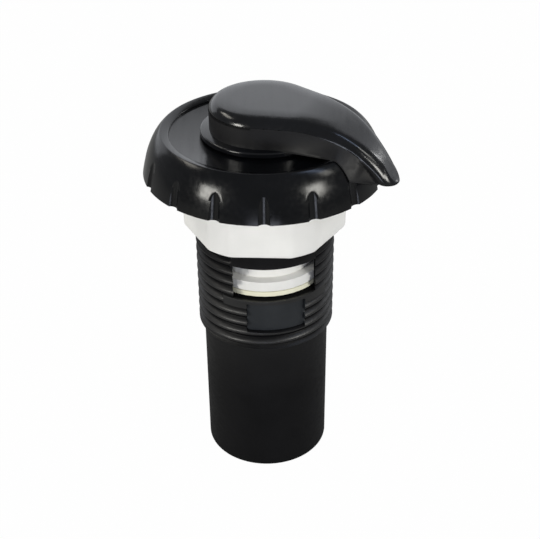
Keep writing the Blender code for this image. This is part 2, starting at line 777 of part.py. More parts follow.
def make_lever(axis, finish):
    bm = bmesh.new()
    loops = []
    for ring in lever_rings():
        right = [bm.verts.new((x, -y, z)) for x, y, z in ring]
        left = [bm.verts.new((x, y, z)) for x, y, z in ring[1:-1]]
        loops.append(right + list(reversed(left)))
    for lower, upper in zip(loops, loops[1:]):
        count = len(lower)
        for k in range(count):
            after = (k + 1) % count
            bm.faces.new((lower[k], lower[after], upper[after], upper[k]))
    for loop in (loops[0], loops[-1]):
        count = len(loop)
        half = count // 2
        for k in range(half):
            sides = [loop[k], loop[k + 1], loop[(count - k - 1) % count], loop[(count - k) % count]]
            corners = list(dict.fromkeys(sides))
            bm.faces.new(corners)
    lever = add_object("handle", bm, finish, axis)
    clear_radius = CAP_RADIUS + LEVER_GAP
    hub = BASE_RADIUS - SKIRT_EDGE / 2
    clear_outline = [(0, CAP_BOTTOM - CAP_OVERHANG), (clear_radius, CAP_BOTTOM - CAP_OVERHANG)]
    clear_outline += dome_outline(LEVER_GAP, 12)
    clear_outline += [
        (CREST_RADIUS - LEVER_GAP, CREST + LEVER_GAP),
        (hub, CREST + LEVER_GAP),
        (hub, BASE_TOP - BASE_THICKNESS / 2),
        (0, BASE_TOP - BASE_THICKNESS / 2),
    ]
    shape(lever, add_guide("lever_clearance", lathe(clear_outline, FINE), axis), "DIFFERENCE")
    base_outline = [
        (0, LEVER_BOTTOM),
        (BASE_RADIUS, LEVER_BOTTOM),
        (BASE_RADIUS, BASE_TOP),
        (0, BASE_TOP),
    ]
    shape(lever, add_guide("lever_base", lathe(base_outline, FINE), axis), "UNION")
    socket_top = LEVER_BOTTOM + DRIVE_LENGTH + FIT
    socket = prism(
        drive_outline(DRIVE_RADIUS + FIT, DRIVE_FLATS + 2 * FIT),
        LEVER_BOTTOM - BASE_THICKNESS,
        socket_top,
    )
    shape(lever, add_guide("drive_socket", socket, axis), "DIFFERENCE")
    return lever


def main():
    remove_everything()
    black_barrel = material("barrel_black", (0.012, 0.012, 0.013), 0.38)
    black_gloss = material("cap_black", (0.010, 0.010, 0.011), 0.24)
    white = material("nut_white", (0.78, 0.77, 0.74), 0.42)
    poppet_white = material("poppet_white", (0.84, 0.84, 0.83), 0.35)
    cream = material("seal_cream", (0.74, 0.70, 0.52), 0.55)
    grey = material("gasket_grey", (0.10, 0.10, 0.10), 0.70)
    inner_black = material("inner_black", (0.020, 0.020, 0.020), 0.45)
    stem_white = material("stem_natural", (0.80, 0.78, 0.70), 0.40)
    ring_black = material("ring_black", (0.015, 0.015, 0.015), 0.60)

    make_body(black_barrel)
    make_gasket(grey)
    make_nut(white)
    make_cap(black_gloss)
    make_bonnet(inner_black, ring_black)
    lever_axis = add_axis("lever_axis", LEVER_BOTTOM, LEVER_DIRECTION)
    make_stem(lever_axis, stem_white, ring_black)
    make_lever(lever_axis, black_gloss)
    make_poppet(poppet_white, cream)


main()
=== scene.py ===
import json
import math

import bmesh
import bpy
import numpy as np
from mathutils import Matrix, Vector


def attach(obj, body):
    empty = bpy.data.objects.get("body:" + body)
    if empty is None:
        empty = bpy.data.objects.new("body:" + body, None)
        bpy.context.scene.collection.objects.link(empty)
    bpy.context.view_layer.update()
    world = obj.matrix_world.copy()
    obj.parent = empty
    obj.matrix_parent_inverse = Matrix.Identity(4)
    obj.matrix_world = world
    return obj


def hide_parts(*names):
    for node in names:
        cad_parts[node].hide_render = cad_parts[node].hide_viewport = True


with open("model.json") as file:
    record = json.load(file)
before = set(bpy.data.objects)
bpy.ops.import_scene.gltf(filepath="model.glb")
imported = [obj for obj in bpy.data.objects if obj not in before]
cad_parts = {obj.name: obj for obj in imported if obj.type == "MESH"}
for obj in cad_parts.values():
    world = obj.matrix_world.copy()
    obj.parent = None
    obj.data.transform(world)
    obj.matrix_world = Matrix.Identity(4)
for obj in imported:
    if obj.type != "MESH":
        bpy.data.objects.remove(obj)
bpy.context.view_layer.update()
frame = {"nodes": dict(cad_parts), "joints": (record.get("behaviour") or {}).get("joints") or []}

# An air control valve for a spa's air line: slip tail, threaded barrel with an air window, off-white nut,
# scalloped black cap and a teardrop lever. Lengths are millimetres until a mesh is made. The valve's axis is
# the one that the lever turns on.
MM = 0.001
turn_joint = next(j for j in frame["joints"] if j["name"] == "handle_turn")
AXIS_X = turn_joint["pos_m"][0] / MM


# ---- Studio: camera, floor and lamps -------------------------------------------------------------------
# The camera looks 32 degrees down, as the photograph does. The valve stands on a plain pale floor before a
# long bright wall. Two soft boxes in front draw the long lights on its black plastic, and five smaller lamps
# draw the short ones on the lever, the dome and the scallops.
CAMERA_PLACE = (1.547 + AXIS_X, -305.6178, 259.8841)
CAMERA_PITCH = 0.5596
CAMERA_ROLL = -0.0104
FRAME_WIDTH_PX = 540
FOCAL_PX = 1067.6121
SENSOR_WIDTH = 36.0

ahead = Vector((0, math.cos(CAMERA_PITCH), -math.sin(CAMERA_PITCH)))
right = Vector((1, 0, 0))
up = right.cross(ahead)
rolled_right = math.cos(CAMERA_ROLL) * right + math.sin(CAMERA_ROLL) * up
rolled_up = -math.sin(CAMERA_ROLL) * right + math.cos(CAMERA_ROLL) * up
camera_data = bpy.data.cameras.new("camera")
camera_data.sensor_width = SENSOR_WIDTH
camera_data.lens = FOCAL_PX * SENSOR_WIDTH / FRAME_WIDTH_PX
camera_data.clip_start = 0.01
camera = bpy.data.objects.new("camera", camera_data)
camera_turn = Matrix((rolled_right, rolled_up, -ahead)).transposed().to_4x4()
camera.matrix_world = Matrix.Translation(Vector(CAMERA_PLACE) * MM) @ camera_turn
bpy.context.scene.collection.objects.link(camera)
bpy.context.scene.camera = camera
bpy.context.scene.view_settings.view_transform = "Standard"


def srgb(code):
    """A hex colour as linear red, green, blue and full alpha."""
    values = [int(code[k : k + 2], 16) / 255 for k in (1, 3, 5)]
    linear = [v / 12.92 if v <= 0.04045 else ((v + 0.055) / 1.055) ** 2.4 for v in values]
    return (*linear, 1.0)


def add_node(tree, kind, settings=None, links=None):
    """Add a node, set its properties and its inputs, and link outputs of other nodes to its inputs."""
    node = tree.nodes.new(kind)
    for name, value in (settings or {}).items():
        if isinstance(name, str) and hasattr(node, name):
            setattr(node, name, value)
        else:
            node.inputs[name].default_value = value
    for name, socket in (links or {}).items():
        tree.links.new(socket, node.inputs[name])
    return node


# Painted board, seen white: rays from the camera meet mostly its own plain white, rays off something shiny
# meet a share of it, and the rest is shaded, so the valve's shadow stays on it.
FLOOR_SIZE = 9000.0
FLOOR_WHITE_SHARE = 0.99
FLOOR_GLOSS_SHARE = 0.12

floor_finish = bpy.data.materials.new("painted_board_white")
floor_finish.use_nodes = True
tree = floor_finish.node_tree
tree.nodes.clear()
path = add_node(tree, "ShaderNodeLightPath")
seen = add_node(
    tree,
    "ShaderNodeMath",
    {"operation": "MAXIMUM"},
    {0: path.outputs["Is Camera Ray"], 1: path.outputs["Is Transmission Ray"]},
)
seen_share = add_node(
    tree, "ShaderNodeMath", {"operation": "MULTIPLY", 1: FLOOR_WHITE_SHARE}, {0: seen.outputs[0]}
)
share = add_node(
    tree,
    "ShaderNodeMath",
    {"operation": "MULTIPLY_ADD", 1: FLOOR_GLOSS_SHARE},
    {0: path.outputs["Is Glossy Ray"], 2: seen_share.outputs[0]},
)
shaded = add_node(tree, "ShaderNodeBsdfDiffuse", {"Color": srgb("#949492")})
plain = add_node(tree, "ShaderNodeEmission", {"Color": (1, 1, 1, 1), "Strength": 1.0})
mixed = add_node(
    tree, "ShaderNodeMixShader", None, {0: share.outputs[0], 1: shaded.outputs[0], 2: plain.outputs[0]}
)
add_node(tree, "ShaderNodeOutputMaterial", None, {"Surface": mixed.outputs[0]})

floor_mesh = bpy.data.meshes.new("floor")
half = FLOOR_SIZE / 2 * MM
corners = [(-half, -half, 0), (half, -half, 0), (half, half, 0), (-half, half, 0)]
floor_mesh.from_pydata(corners, [], [(0, 1, 2, 3)])
floor_mesh.materials.append(floor_finish)
floor = bpy.data.objects.new("floor", floor_mesh)
bpy.context.scene.collection.objects.link(floor)

WORLD_STRENGTH = 0.34
world = bpy.data.worlds.new("studio")
world.use_nodes = True
world.node_tree.nodes["Background"].inputs["Color"].default_value = srgb("#DFE1E4")
world.node_tree.nodes["Background"].inputs["Strength"].default_value = WORLD_STRENGTH
bpy.context.scene.world = world

# The height on the valve that every lamp faces
AIM_HEIGHT = 100


def add_lamp(name, azimuth, elevation, distance, width, height, radiance, colour):
    """A flat lamp that faces the valve: its direction in degrees, its distance and size in millimetres.

    Its radiance is its power divided by pi times its area.
    """
    data = bpy.data.lights.new(name, "AREA")
    data.shape = "RECTANGLE"
    data.size = width * MM
    data.size_y = height * MM
    data.energy = radiance * math.pi * width * height * MM * MM
    data.color = srgb(colour)[:3]
    lamp = bpy.data.objects.new(name, data)
    az, el = math.radians(azimuth), math.radians(elevation)
    away = Vector((math.cos(el) * math.cos(az), math.cos(el) * math.sin(az), math.sin(el)))
    aim = Vector((AXIS_X * MM, 0, AIM_HEIGHT * MM))
    lamp.location = aim + away * (distance * MM)
    lamp.rotation_euler = away.to_track_quat("Z", "Y").to_euler()
    lamp.visible_camera = False
    bpy.context.scene.collection.objects.link(lamp)


add_lamp("wall_light", 86, 19, 1300, 4300, 960, 1.03, "#F6F9FF")
add_lamp("left_soft_box", -142, 13, 900, 260, 240, 22.0, "#FFFDF6")
add_lamp("right_soft_box", -41, 17, 900, 250, 250, 19.5, "#FFFDF6")
add_lamp("window_light", -19, 37, 1000, 140, 230, 7.0, "#FFFDF6")
add_lamp("sky_light", -19, 54, 1000, 80, 400, 8.0, "#C6DAFF")
add_lamp("left_window_light", 163, 43, 1000, 480, 150, 8.0, "#FFFAEE")
add_lamp("far_right_light", 27, 22, 1000, 90, 130, 14.0, "#FFFFFF")
add_lamp("front_low_light", -90, -9, 450, 200, 60, 5.6, "#E8EEFF")


# ---- Body ----------------------------------------------------------------------------------------------
# One black moulding with a slip tail, a barrel with a coarse outside thread, an air window through both
# sides, a plain panel under the front window and the flange that the cap hides. It is moulded in ABS: the
# tail comes from a satin part of the mould and the barrel from a polished one.
TAIL_RADIUS = 21.1
TAIL_EDGE = 0.6
TAIL_TOP = 51.6
BARREL_EDGE = 0.4
SOCKET_RADIUS = 16.8
SOCKET_DEPTH = 30.0
SOCKET_LEAD = 0.8
PASSAGE_RADIUS = 15.4
BARREL_RADIUS = 22.9
CHAMBER_RADIUS = 20.0
SILL = 70.2
LINTEL = 82.4
WINDOW_HALF = 13.45
WINDOW_DIRECTION = math.radians(-80.5)
FLANGE_RADIUS = 34.6
FLANGE_BOTTOM = 108.7
FLANGE_TOP = 111.7
PANEL_RADIUS = 21.5
PANEL_HALF = 9.5
PANEL_BOTTOM = 58.4
PANEL_TOP = 68.9
PANEL_EDGE = 0.08
THREAD_PITCH = 3.63
THREAD_DEPTH = 1.35
THREAD_CREST_AT = 75.8
THREAD_CREST_AZIMUTH = -120.0
THREAD_SHARPNESS = 1.25
THREAD_FADES = (103.0, 106.0)
COLLAR_FADES = (51.6, 53.1)
LINTEL_BAND = (-118, -45)
LINTEL_BAND_BOTTOM = (80.8, 81.2)
LINTEL_BAND_TOP = (88.6, 89.4)
SILL_BAND = (-127, -30)
SILL_BAND_LEVELS = (66.9, 70.4)
BAND_END = 0.7
BAND_EDGE = 0.3
BAND_DEPTH = 0.25
FINE_ROWS_TOP = 93.0

# What a row of the body's section is cut by: nothing, the thread, or a window in the outer or inner wall
PLAIN, THREADED, OPEN_OUTSIDE, OPEN_INSIDE = range(4)


def smooth_step(low, high, value):
    """0 below low, 1 above high, and a smooth S between."""
    t = np.clip((value - low) / (high - low), 0, 1)
    return t * t * (3 - 2 * t)


def between(low, high, value, edge):
    """1 inside the span low to high and 0 outside it, with a smooth edge."""
    return smooth_step(low - edge, low + edge, value) * (1 - smooth_step(high - edge, high + edge, value))


def thread_relief(azimuth, height):
    """How far the barrel's skin lies under its crest radius, over azimuth in degrees and height.

    A right-hand thread: its phase rises by one for each pitch of height and falls by one for each turn, and
    its round crests and narrower roots are a raised cosine. Bare bands over and under the window and the
    collar at the foot have no thread.
    """
    phase = (height - THREAD_CREST_AT) / THREAD_PITCH - (azimuth - THREAD_CREST_AZIMUTH) / 360
    wave = 0.5 - 0.5 * np.cos(2 * np.pi * phase)
    relief = THREAD_DEPTH * wave**THREAD_SHARPNESS
    lintel_band = between(*LINTEL_BAND, azimuth, BAND_END) * smooth_step(*LINTEL_BAND_BOTTOM, height)
    lintel_band = lintel_band * (1 - smooth_step(*LINTEL_BAND_TOP, height))
    sill_band = between(*SILL_BAND, azimuth, BAND_END) * between(*SILL_BAND_LEVELS, height, BAND_EDGE)
    collar = 1 - smooth_step(*COLLAR_FADES, height)
    plain_top = smooth_step(*THREAD_FADES, height)
    bare = np.maximum.reduce([lintel_band, sill_band, collar, plain_top])
    return relief * (1 - bare) + BAND_DEPTH * bare * (1 - collar)


def body_columns():
    """Directions round the barrel, with columns on the edges of the window and the panel."""
    window = math.asin(WINDOW_HALF / BARREL_RADIUS)
    panel = math.asin(PANEL_HALF / BARREL_RADIUS)
    step = math.radians(0.35)
    marks = [0, panel - step, panel + step, window, math.pi / 2]
    counts = [10, 1, 14, 44]
    spans = zip(marks, marks[1:], counts)
    quarter = np.concatenate([np.linspace(first, last, n, endpoint=False) for first, last, n in spans])
    front = np.concatenate([-quarter[:0:-1], quarter])
    return np.concatenate([front, [math.pi / 2], front + math.pi, [3 * math.pi / 2]])


def bent_direction(nominal, radius):
    """Direction of a column at a radius.

    Columns between a window's edges keep their distance from the window's centre plane at every radius, so
    the window's sides are flat and parallel. The others share out the arc that is left.
    """
    folded = (nominal + math.pi / 2) % math.pi - math.pi / 2
    window = math.asin(WINDOW_HALF / BARREL_RADIUS)
    edge = np.arcsin(WINDOW_HALF / radius)
    inside = np.arcsin(np.clip(BARREL_RADIUS * np.sin(folded) / radius, -1, 1))
    share = (np.abs(folded) - window) / (math.pi / 2 - window)
    outside = np.sign(folded) * (edge + (math.pi / 2 - edge) * share)
    bent = np.where(np.abs(folded) <= window + 1e-9, inside, outside)
    return nominal - folded + bent


def body_outline():
    """Closed section of the body: each row's radius, its height, and what it is cut by."""

    def run(start, end, count, kind=PLAIN):
        share = np.linspace(0, 1, count, endpoint=False)[:, None]
        return np.hstack([start + np.subtract(end, start) * share, np.full((count, 1), kind)])

    def arc(radius, centre_r, centre_z, first, last, count):
        angle = np.radians(np.linspace(first, last, count))
        place = [centre_r + radius * np.cos(angle), centre_z + radius * np.sin(angle)]
        return np.stack([*place, np.full(count, PLAIN)], axis=-1)

    barrel_foot = TAIL_TOP + BARREL_EDGE
    thread_rows = round((SILL - TAIL_TOP) * 12 / THREAD_PITCH)
    return np.concatenate(
        [
            arc(TAIL_EDGE, TAIL_RADIUS - TAIL_EDGE, TAIL_EDGE, -90, 0, 5),
            run((TAIL_RADIUS, 2 * TAIL_EDGE), (TAIL_RADIUS, TAIL_TOP), 12),
            [(TAIL_RADIUS, TAIL_TOP, PLAIN)],
            arc(BARREL_EDGE, BARREL_RADIUS - BARREL_EDGE, barrel_foot, -90, -10, 6),
            run((BARREL_RADIUS, barrel_foot), (BARREL_RADIUS, SILL), thread_rows, THREADED),
            run((BARREL_RADIUS, SILL), (BARREL_RADIUS, LINTEL), 40, OPEN_OUTSIDE),
            run((BARREL_RADIUS, LINTEL), (BARREL_RADIUS, FINE_ROWS_TOP), 35, THREADED),
            run((BARREL_RADIUS, FINE_ROWS_TOP), (BARREL_RADIUS, FLANGE_BOTTOM), 44, THREADED),
            run((BARREL_RADIUS, FLANGE_BOTTOM), (FLANGE_RADIUS, FLANGE_BOTTOM), 3),
            run((FLANGE_RADIUS, FLANGE_BOTTOM), (FLANGE_RADIUS, FLANGE_TOP), 3),
            run((FLANGE_RADIUS, FLANGE_TOP), (CHAMBER_RADIUS, FLANGE_TOP), 3),
            run((CHAMBER_RADIUS, FLANGE_TOP), (CHAMBER_RADIUS, LINTEL), 4),
            run((CHAMBER_RADIUS, LINTEL), (CHAMBER_RADIUS, SILL), 40, OPEN_INSIDE),
            run((CHAMBER_RADIUS, SILL), (PASSAGE_RADIUS, SILL), 3),
            run((PASSAGE_RADIUS, SILL), (PASSAGE_RADIUS, SOCKET_DEPTH), 5),
            run((PASSAGE_RADIUS, SOCKET_DEPTH), (SOCKET_RADIUS, SOCKET_DEPTH), 1),
            run((SOCKET_RADIUS, SOCKET_DEPTH), (SOCKET_RADIUS, SOCKET_LEAD), 4),
            [(SOCKET_RADIUS, SOCKET_LEAD, PLAIN)],
            [(SOCKET_RADIUS + SOCKET_LEAD, 0.0, PLAIN)],
        ]
    )


def mesh_object(name, points, faces, sharp, finish_numbers=None):
    """A mesh of points in millimetres round the valve's axis, set in its place, normals outward.

    Edges sharper than the angle in degrees stay sharp. The numbers say which finish each face has.
    """
    placed = (np.asarray(points, float).reshape(-1, 3) + (AXIS_X, 0, 0)) * MM
    mesh = bpy.data.meshes.new(name)
    mesh.from_pydata(placed.tolist(), [], np.asarray(faces).tolist())
    if finish_numbers is not None:
        mesh.polygons.foreach_set("material_index", finish_numbers)
    bm = bmesh.new()
    bm.from_mesh(mesh)
    bmesh.ops.remove_doubles(bm, verts=bm.verts, dist=0.002 * MM)
    bmesh.ops.recalc_face_normals(bm, faces=bm.faces)
    if bm.calc_volume(signed=True) < 0:
        bmesh.ops.reverse_faces(bm, faces=bm.faces)
    bm.to_mesh(mesh)
    bm.free()
    mesh.shade_smooth()
    mesh.set_sharp_from_angle(angle=math.radians(sharp))
    obj = bpy.data.objects.new(name, mesh)
    bpy.context.scene.collection.objects.link(obj)
    return obj


def grid_faces(rows, columns, close_rows, close_columns):
    """Quads of a grid of points, joined end to end where it closes on itself."""
    i = np.arange(rows if close_rows else rows - 1)
    j = np.arange(columns if close_columns else columns - 1)
    i, j = np.meshgrid(i, j, indexing="ij")
    after_i, after_j = (i + 1) % rows, (j + 1) % columns
    quads = [i * columns + j, i * columns + after_j, after_i * columns + after_j, after_i * columns + j]
    return np.stack(quads, axis=-1).reshape(-1, 4)


def moulded(name, dark, light, roughness, grain_mm, ior, relief_mm):
    """A moulded plastic or rubber: two close colours in soft clouds, a fine grain, and handling marks.

    The clouds, 9 mm across, and the grain are noise on Object coordinates. The marks are streaks 1.2 mm wide
    that change only the gloss. The grain is finer on a real one, and is drawn as coarse as it needs to show.
    """
    made = bpy.data.materials.new(name)
    made.use_nodes = True
    nodes = made.node_tree
    shader = nodes.nodes["Principled BSDF"]
    place = add_node(nodes, "ShaderNodeTexCoord")
    clouds = add_node(
        nodes,
        "ShaderNodeTexNoise",
        {"Scale": 1 / (9 * MM), "Detail": 3.0, "Roughness": 0.55},
        {"Vector": place.outputs["Object"]},
    )
    colours = add_node(nodes, "ShaderNodeValToRGB", None, {"Fac": clouds.outputs["Fac"]})
    colours.color_ramp.elements[0].position = 0.32
    colours.color_ramp.elements[0].color = srgb(dark)
    colours.color_ramp.elements[1].position = 0.72
    colours.color_ramp.elements[1].color = srgb(light)
    nodes.links.new(colours.outputs["Color"], shader.inputs["Base Color"])
    grain = add_node(
        nodes,
        "ShaderNodeTexNoise",
        {"Scale": 1 / (grain_mm * MM), "Detail": 2.0},
        {"Vector": place.outputs["Object"]},
    )
    stretch = add_node(
        nodes,
        "ShaderNodeMapping",
        {"Rotation": (0.4, 0.7, 0.3), "Scale": (1.0, 0.08, 1.0)},
        {"Vector": place.outputs["Object"]},
    )
    streaks = add_node(
        nodes,
        "ShaderNodeTexNoise",
        {"Scale": 1 / (1.2 * MM), "Detail": 2.0},
        {"Vector": stretch.outputs["Vector"]},
    )
    marks = add_node(
        nodes,
        "ShaderNodeMapRange",
        {"From Min": 0.35, "From Max": 0.75, "To Min": roughness - 0.03, "To Max": roughness + 0.07},
        {"Value": streaks.outputs["Fac"]},
    )
    worn = add_node(
        nodes,
        "ShaderNodeMapRange",
        {"From Min": 0.3, "From Max": 0.7, "To Min": -0.03, "To Max": 0.04},
        {"Value": clouds.outputs["Fac"]},
    )
    total = add_node(
        nodes, "ShaderNodeMath", {"operation": "ADD"}, {0: marks.outputs[0], 1: worn.outputs[0]}
    )
    nodes.links.new(total.outputs[0], shader.inputs["Roughness"])
    bump = add_node(
        nodes,
        "ShaderNodeBump",
        {"Strength": 0.35, "Distance": relief_mm * MM},
        {"Height": grain.outputs["Fac"]},
    )
    nodes.links.new(bump.outputs["Normal"], shader.inputs["Normal"])
    shader.inputs["IOR"].default_value = ior
    return made


# The body is its section turned round the axis, with the thread and the panel sunk in its outer face.
outline = body_outline()
columns = body_columns()
radius = np.repeat(outline[:, 0:1], len(columns), axis=1)
height = np.repeat(outline[:, 1:2], len(columns), axis=1)
kind = outline[:, 2:3]
nominal = np.repeat(columns[None, :], len(outline), axis=0)
azimuth = (np.degrees(nominal + WINDOW_DIRECTION) + 180) % 360 - 180
threaded = (kind == THREADED) | (kind == OPEN_OUTSIDE)
radius = np.where(threaded, radius - thread_relief(azimuth, height), radius)
folded = (nominal + math.pi) % (2 * math.pi) - math.pi
panel_offset = BARREL_RADIUS * np.sin(folded)
in_panel = (np.abs(folded) < math.pi / 2) * (np.abs(panel_offset) < PANEL_HALF)
in_panel = in_panel * between(PANEL_BOTTOM, PANEL_TOP, height, PANEL_EDGE)
radius = np.where(threaded, radius + (PANEL_RADIUS - radius) * in_panel, radius)
direction = bent_direction(nominal, radius) + WINDOW_DIRECTION
body_points = np.stack([radius * np.cos(direction), radius * np.sin(direction), height], axis=-1)

# The skin is left open at the windows, and their sides, sills and lintels are set in between its two walls.
rows, count = radius.shape
skin = grid_faces(rows, count, True, True).reshape(rows, count, 4)
middle = (columns + np.append(columns[1:], columns[0] + 2 * math.pi)) / 2
span = (middle + math.pi / 2) % math.pi - math.pi / 2
in_window = np.abs(BARREL_RADIUS * np.sin(span)) < WINDOW_HALF
open_rows = (outline[:, 2] == OPEN_OUTSIDE) | (outline[:, 2] == OPEN_INSIDE)
kept = ~(open_rows[:, None] & in_window[None, :])
faces = [skin[kept]]
outer_rows = np.flatnonzero(outline[:, 2] == OPEN_OUTSIDE)
outer_rows = np.append(outer_rows, outer_rows[-1] + 1)
inner_rows = np.flatnonzero(outline[:, 2] == OPEN_INSIDE)
inner_rows = np.append(inner_rows, inner_rows[-1] + 1)[::-1]
edges = np.flatnonzero(in_window != np.roll(in_window, 1))
for edge in edges:
    a, b = outer_rows * count + edge, inner_rows * count + edge
    faces.append(np.stack([a[:-1], a[1:], b[1:], b[:-1]], axis=-1))
opened = np.flatnonzero(in_window)
for outer, inner in ((outer_rows[0], inner_rows[0]), (outer_rows[-1], inner_rows[-1])):
    a, b = outer * count + opened, outer * count + (opened + 1) % count
    c, d = inner * count + (opened + 1) % count, inner * count + opened
    faces.append(np.stack([a, b, c, d], axis=-1))
# The panel's faces take the second finish, whose lighter, bluish colour is a painted reflection of the
# floor.
on_panel = ((in_panel > 0.5) & (kind == THREADED))[kept].astype(np.int32)
at_windows = np.zeros(sum(len(quads) for quads in faces[1:]), np.int32)
body_numbers = np.concatenate([on_panel, at_windows])
body = mesh_object("valve_body_moulding", body_points, np.concatenate(faces), 40, body_numbers)

# Black moulded ABS: near black, with soft lights. The panel's face is coloured a lighter, bluish grey: a
# painted reflection of the bright floor in front of it.
body_finish = moulded("abs_black_satin", "#09090B", "#0E0E10", 0.44, 0.35, 1.38, 0.006)
panel_painted_reflection = moulded("abs_black_panel_painted_reflection", "#1D2024", "#26292D", 0.42, 0.35, 1.40, 0.008)

# The tail is rougher and mirrors less than the barrel, least of all low down. On the barrel the mirroring
# falls almost to nothing in the thread's roots, a painted shade in the grooves, and is weaker towards the
# top, a painted shade under the nut.
tree = body_finish.node_tree
shader = tree.nodes["Principled BSDF"]
place = add_node(tree, "ShaderNodeTexCoord")
split = add_node(tree, "ShaderNodeSeparateXYZ", None, {0: place.outputs["Object"]})
polish = add_node(
    tree,
    "ShaderNodeMapRange",
    {"From Min": (TAIL_TOP - 0.5) * MM, "From Max": (TAIL_TOP + 1.5) * MM},
    {"Value": split.outputs["Z"]},
)
# The specular level falls towards the top of the barrel: painted shade under the nut.
painted_shade_under_nut = add_node(
    tree,
    "ShaderNodeMapRange",
    {"From Min": PANEL_TOP * MM, "From Max": (LINTEL + 2) * MM, "To Min": 1.0, "To Max": 0.25},
    {"Value": split.outputs["Z"]},
)
outward = add_node(
    tree,
    "ShaderNodeVectorMath",
    {"operation": "MULTIPLY_ADD", 1: (1, 1, 0), 2: (-AXIS_X * MM, 0, 0)},
    {0: place.outputs["Object"]},
)
from_axis = add_node(tree, "ShaderNodeVectorMath", {"operation": "LENGTH"}, {0: outward.outputs[0]})
# The specular level falls to almost nothing at the thread's roots: painted shade in the grooves.
root_radius = (BARREL_RADIUS - THREAD_DEPTH) * MM
groove_shade_end_radius = (BARREL_RADIUS - 0.15) * MM
painted_groove_shade = add_node(
    tree,
    "ShaderNodeMapRange",
    {"From Min": root_radius, "From Max": groove_shade_end_radius, "To Min": 0.02},
    {"Value": from_axis.outputs["Value"], "To Max": painted_shade_under_nut.outputs[0]},
)
dulled = add_node(
    tree,
    "ShaderNodeMapRange",
    {"From Min": 30 * MM, "From Max": TAIL_TOP * MM, "To Min": 0.20, "To Max": 0.38},
    {"Value": split.outputs["Z"]},
)
mirrored = add_node(
    tree,
    "ShaderNodeMapRange",
    None,
    {"Value": polish.outputs[0], "To Min": dulled.outputs[0], "To Max": painted_groove_shade.outputs[0]},
)
satin = add_node(tree, "ShaderNodeMapRange", {"To Min": 0.10, "To Max": 0.0}, {"Value": polish.outputs[0]})
streaked = shader.inputs["Roughness"].links[0].from_socket
rough = add_node(tree, "ShaderNodeMath", {"operation": "ADD"}, {0: streaked, 1: satin.outputs[0]})
tree.links.new(mirrored.outputs[0], shader.inputs["Specular IOR Level"])
tree.links.new(rough.outputs[0], shader.inputs["Roughness"])
body.data.materials.append(body_finish)
body.data.materials.append(panel_painted_reflection)
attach(body, "valve_body")
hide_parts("body")


# ---- Mounting nut --------------------------------------------------------------------------------------
# A six-sided nut turned down at its corners, moulded in off-white ABS, which screws up the barrel and
# clamps the wall against the gasket.
NUT_FLATS = 49.3
NUT_CORNERS = 52.8
NUT_BOTTOM = 87.8
NUT_TOP = 103.9
NUT_BORE = 23.2
NUT_TURN = math.radians(-3.0)
NUT_EDGE = 0.7
NUT_CORNER_BLEND = 0.12
NUT_CHAMFER = 0.9
NUT_COLUMNS = 288


def softer_minimum(a, b, blend):
    """The smaller of two values, with the corner between them rounded over the blend length."""
    return (a + b - np.sqrt((a - b) ** 2 + blend**2)) / 2


def nut_radius(direction):
    """Distance of the nut's side: the nearest flat of a hexagon, cut by the circle over the corners."""
    nearest = (direction - NUT_TURN) % (math.pi / 3) - math.pi / 6
    flat = NUT_FLATS / 2 / np.cos(nearest)
    return softer_minimum(flat, NUT_CORNERS / 2, NUT_CORNER_BLEND)


# The nut is a section turned round the axis, whose outer face follows the hexagon.
nut_direction = np.linspace(0, 2 * math.pi, NUT_COLUMNS, endpoint=False)
arc_share = np.linspace(0, math.pi / 2, 6)
inset = np.concatenate([NUT_EDGE * (1 - np.sin(arc_share)), [0, 0, 0], NUT_EDGE * (1 - np.cos(arc_share))])
level = np.concatenate(
    [
        NUT_BOTTOM + NUT_EDGE * (1 - np.cos(arc_share)),
        np.linspace(NUT_BOTTOM + 3, NUT_TOP - 3, 3),
        NUT_TOP - NUT_EDGE * (1 - np.sin(arc_share)),
    ]
)
side = nut_radius(nut_direction)[None, :] - inset[:, None]
bore_radius = np.array([NUT_BORE, NUT_BORE, NUT_BORE + NUT_CHAMFER])
bore_level = np.array([NUT_TOP, NUT_BOTTOM + NUT_CHAMFER, NUT_BOTTOM])
nut_r = np.concatenate([side, np.repeat(bore_radius[:, None], NUT_COLUMNS, axis=1)])
nut_z = np.repeat(np.concatenate([level, bore_level])[:, None], NUT_COLUMNS, axis=1)
nut_points = np.stack([nut_r * np.cos(nut_direction), nut_r * np.sin(nut_direction), nut_z], axis=-1)
nut = mesh_object("mounting_nut_moulding", nut_points, grid_faces(*nut_r.shape, True, True), 30)

# Off-white moulded ABS, satin: an even, bright face with broad soft lights along its corners.
nut.data.materials.append(moulded("abs_off_white", "#EDEDEC", "#F3F3F2", 0.42, 0.5, 1.46, 0.01))
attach(nut, "nut")
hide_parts("mounting_nut")


# ---- Cap -----------------------------------------------------------------------------------------------
# The domed escutcheon, moulded in black ABS with sixteen pointed scallops round its rim, a narrow land at
# its crest and a round recess in which the lever's base turns.
CAP_RADIUS = 38.4
CAP_BOTTOM = 107.2
CAP_WALL = 2.0
DOME_SEMI_WIDTH = 9.69
DOME_SEMI_HEIGHT = 26.05
DOME_START = math.radians(26.1)
DOME_END = math.radians(73.2)
LAND_WIDTH = 2.9
LAND_DROP = 0.5
RECESS_DEPTH = 1.0
STEM_HOLE = 8.9
SCALLOP_COUNT = 16
SCALLOP_RADIUS = 2.24
SCALLOP_DEPTH = 0.95
SCALLOP_LEAN = math.radians(10.0)
SCALLOP_EDGE_SEARCH = math.radians(6)
LEAST_BORDER = math.radians(0.12)
DOME_CENTRE_RADIUS = CAP_RADIUS - DOME_SEMI_WIDTH * math.cos(DOME_START)
DOME_CENTRE_HEIGHT = CAP_BOTTOM - DOME_SEMI_HEIGHT * math.sin(DOME_START)
CREST_RADIUS = DOME_CENTRE_RADIUS + DOME_SEMI_WIDTH * math.cos(DOME_END)
CREST = DOME_CENTRE_HEIGHT + DOME_SEMI_HEIGHT * math.sin(DOME_END)
DISC_TOP = CREST - LAND_DROP - RECESS_DEPTH


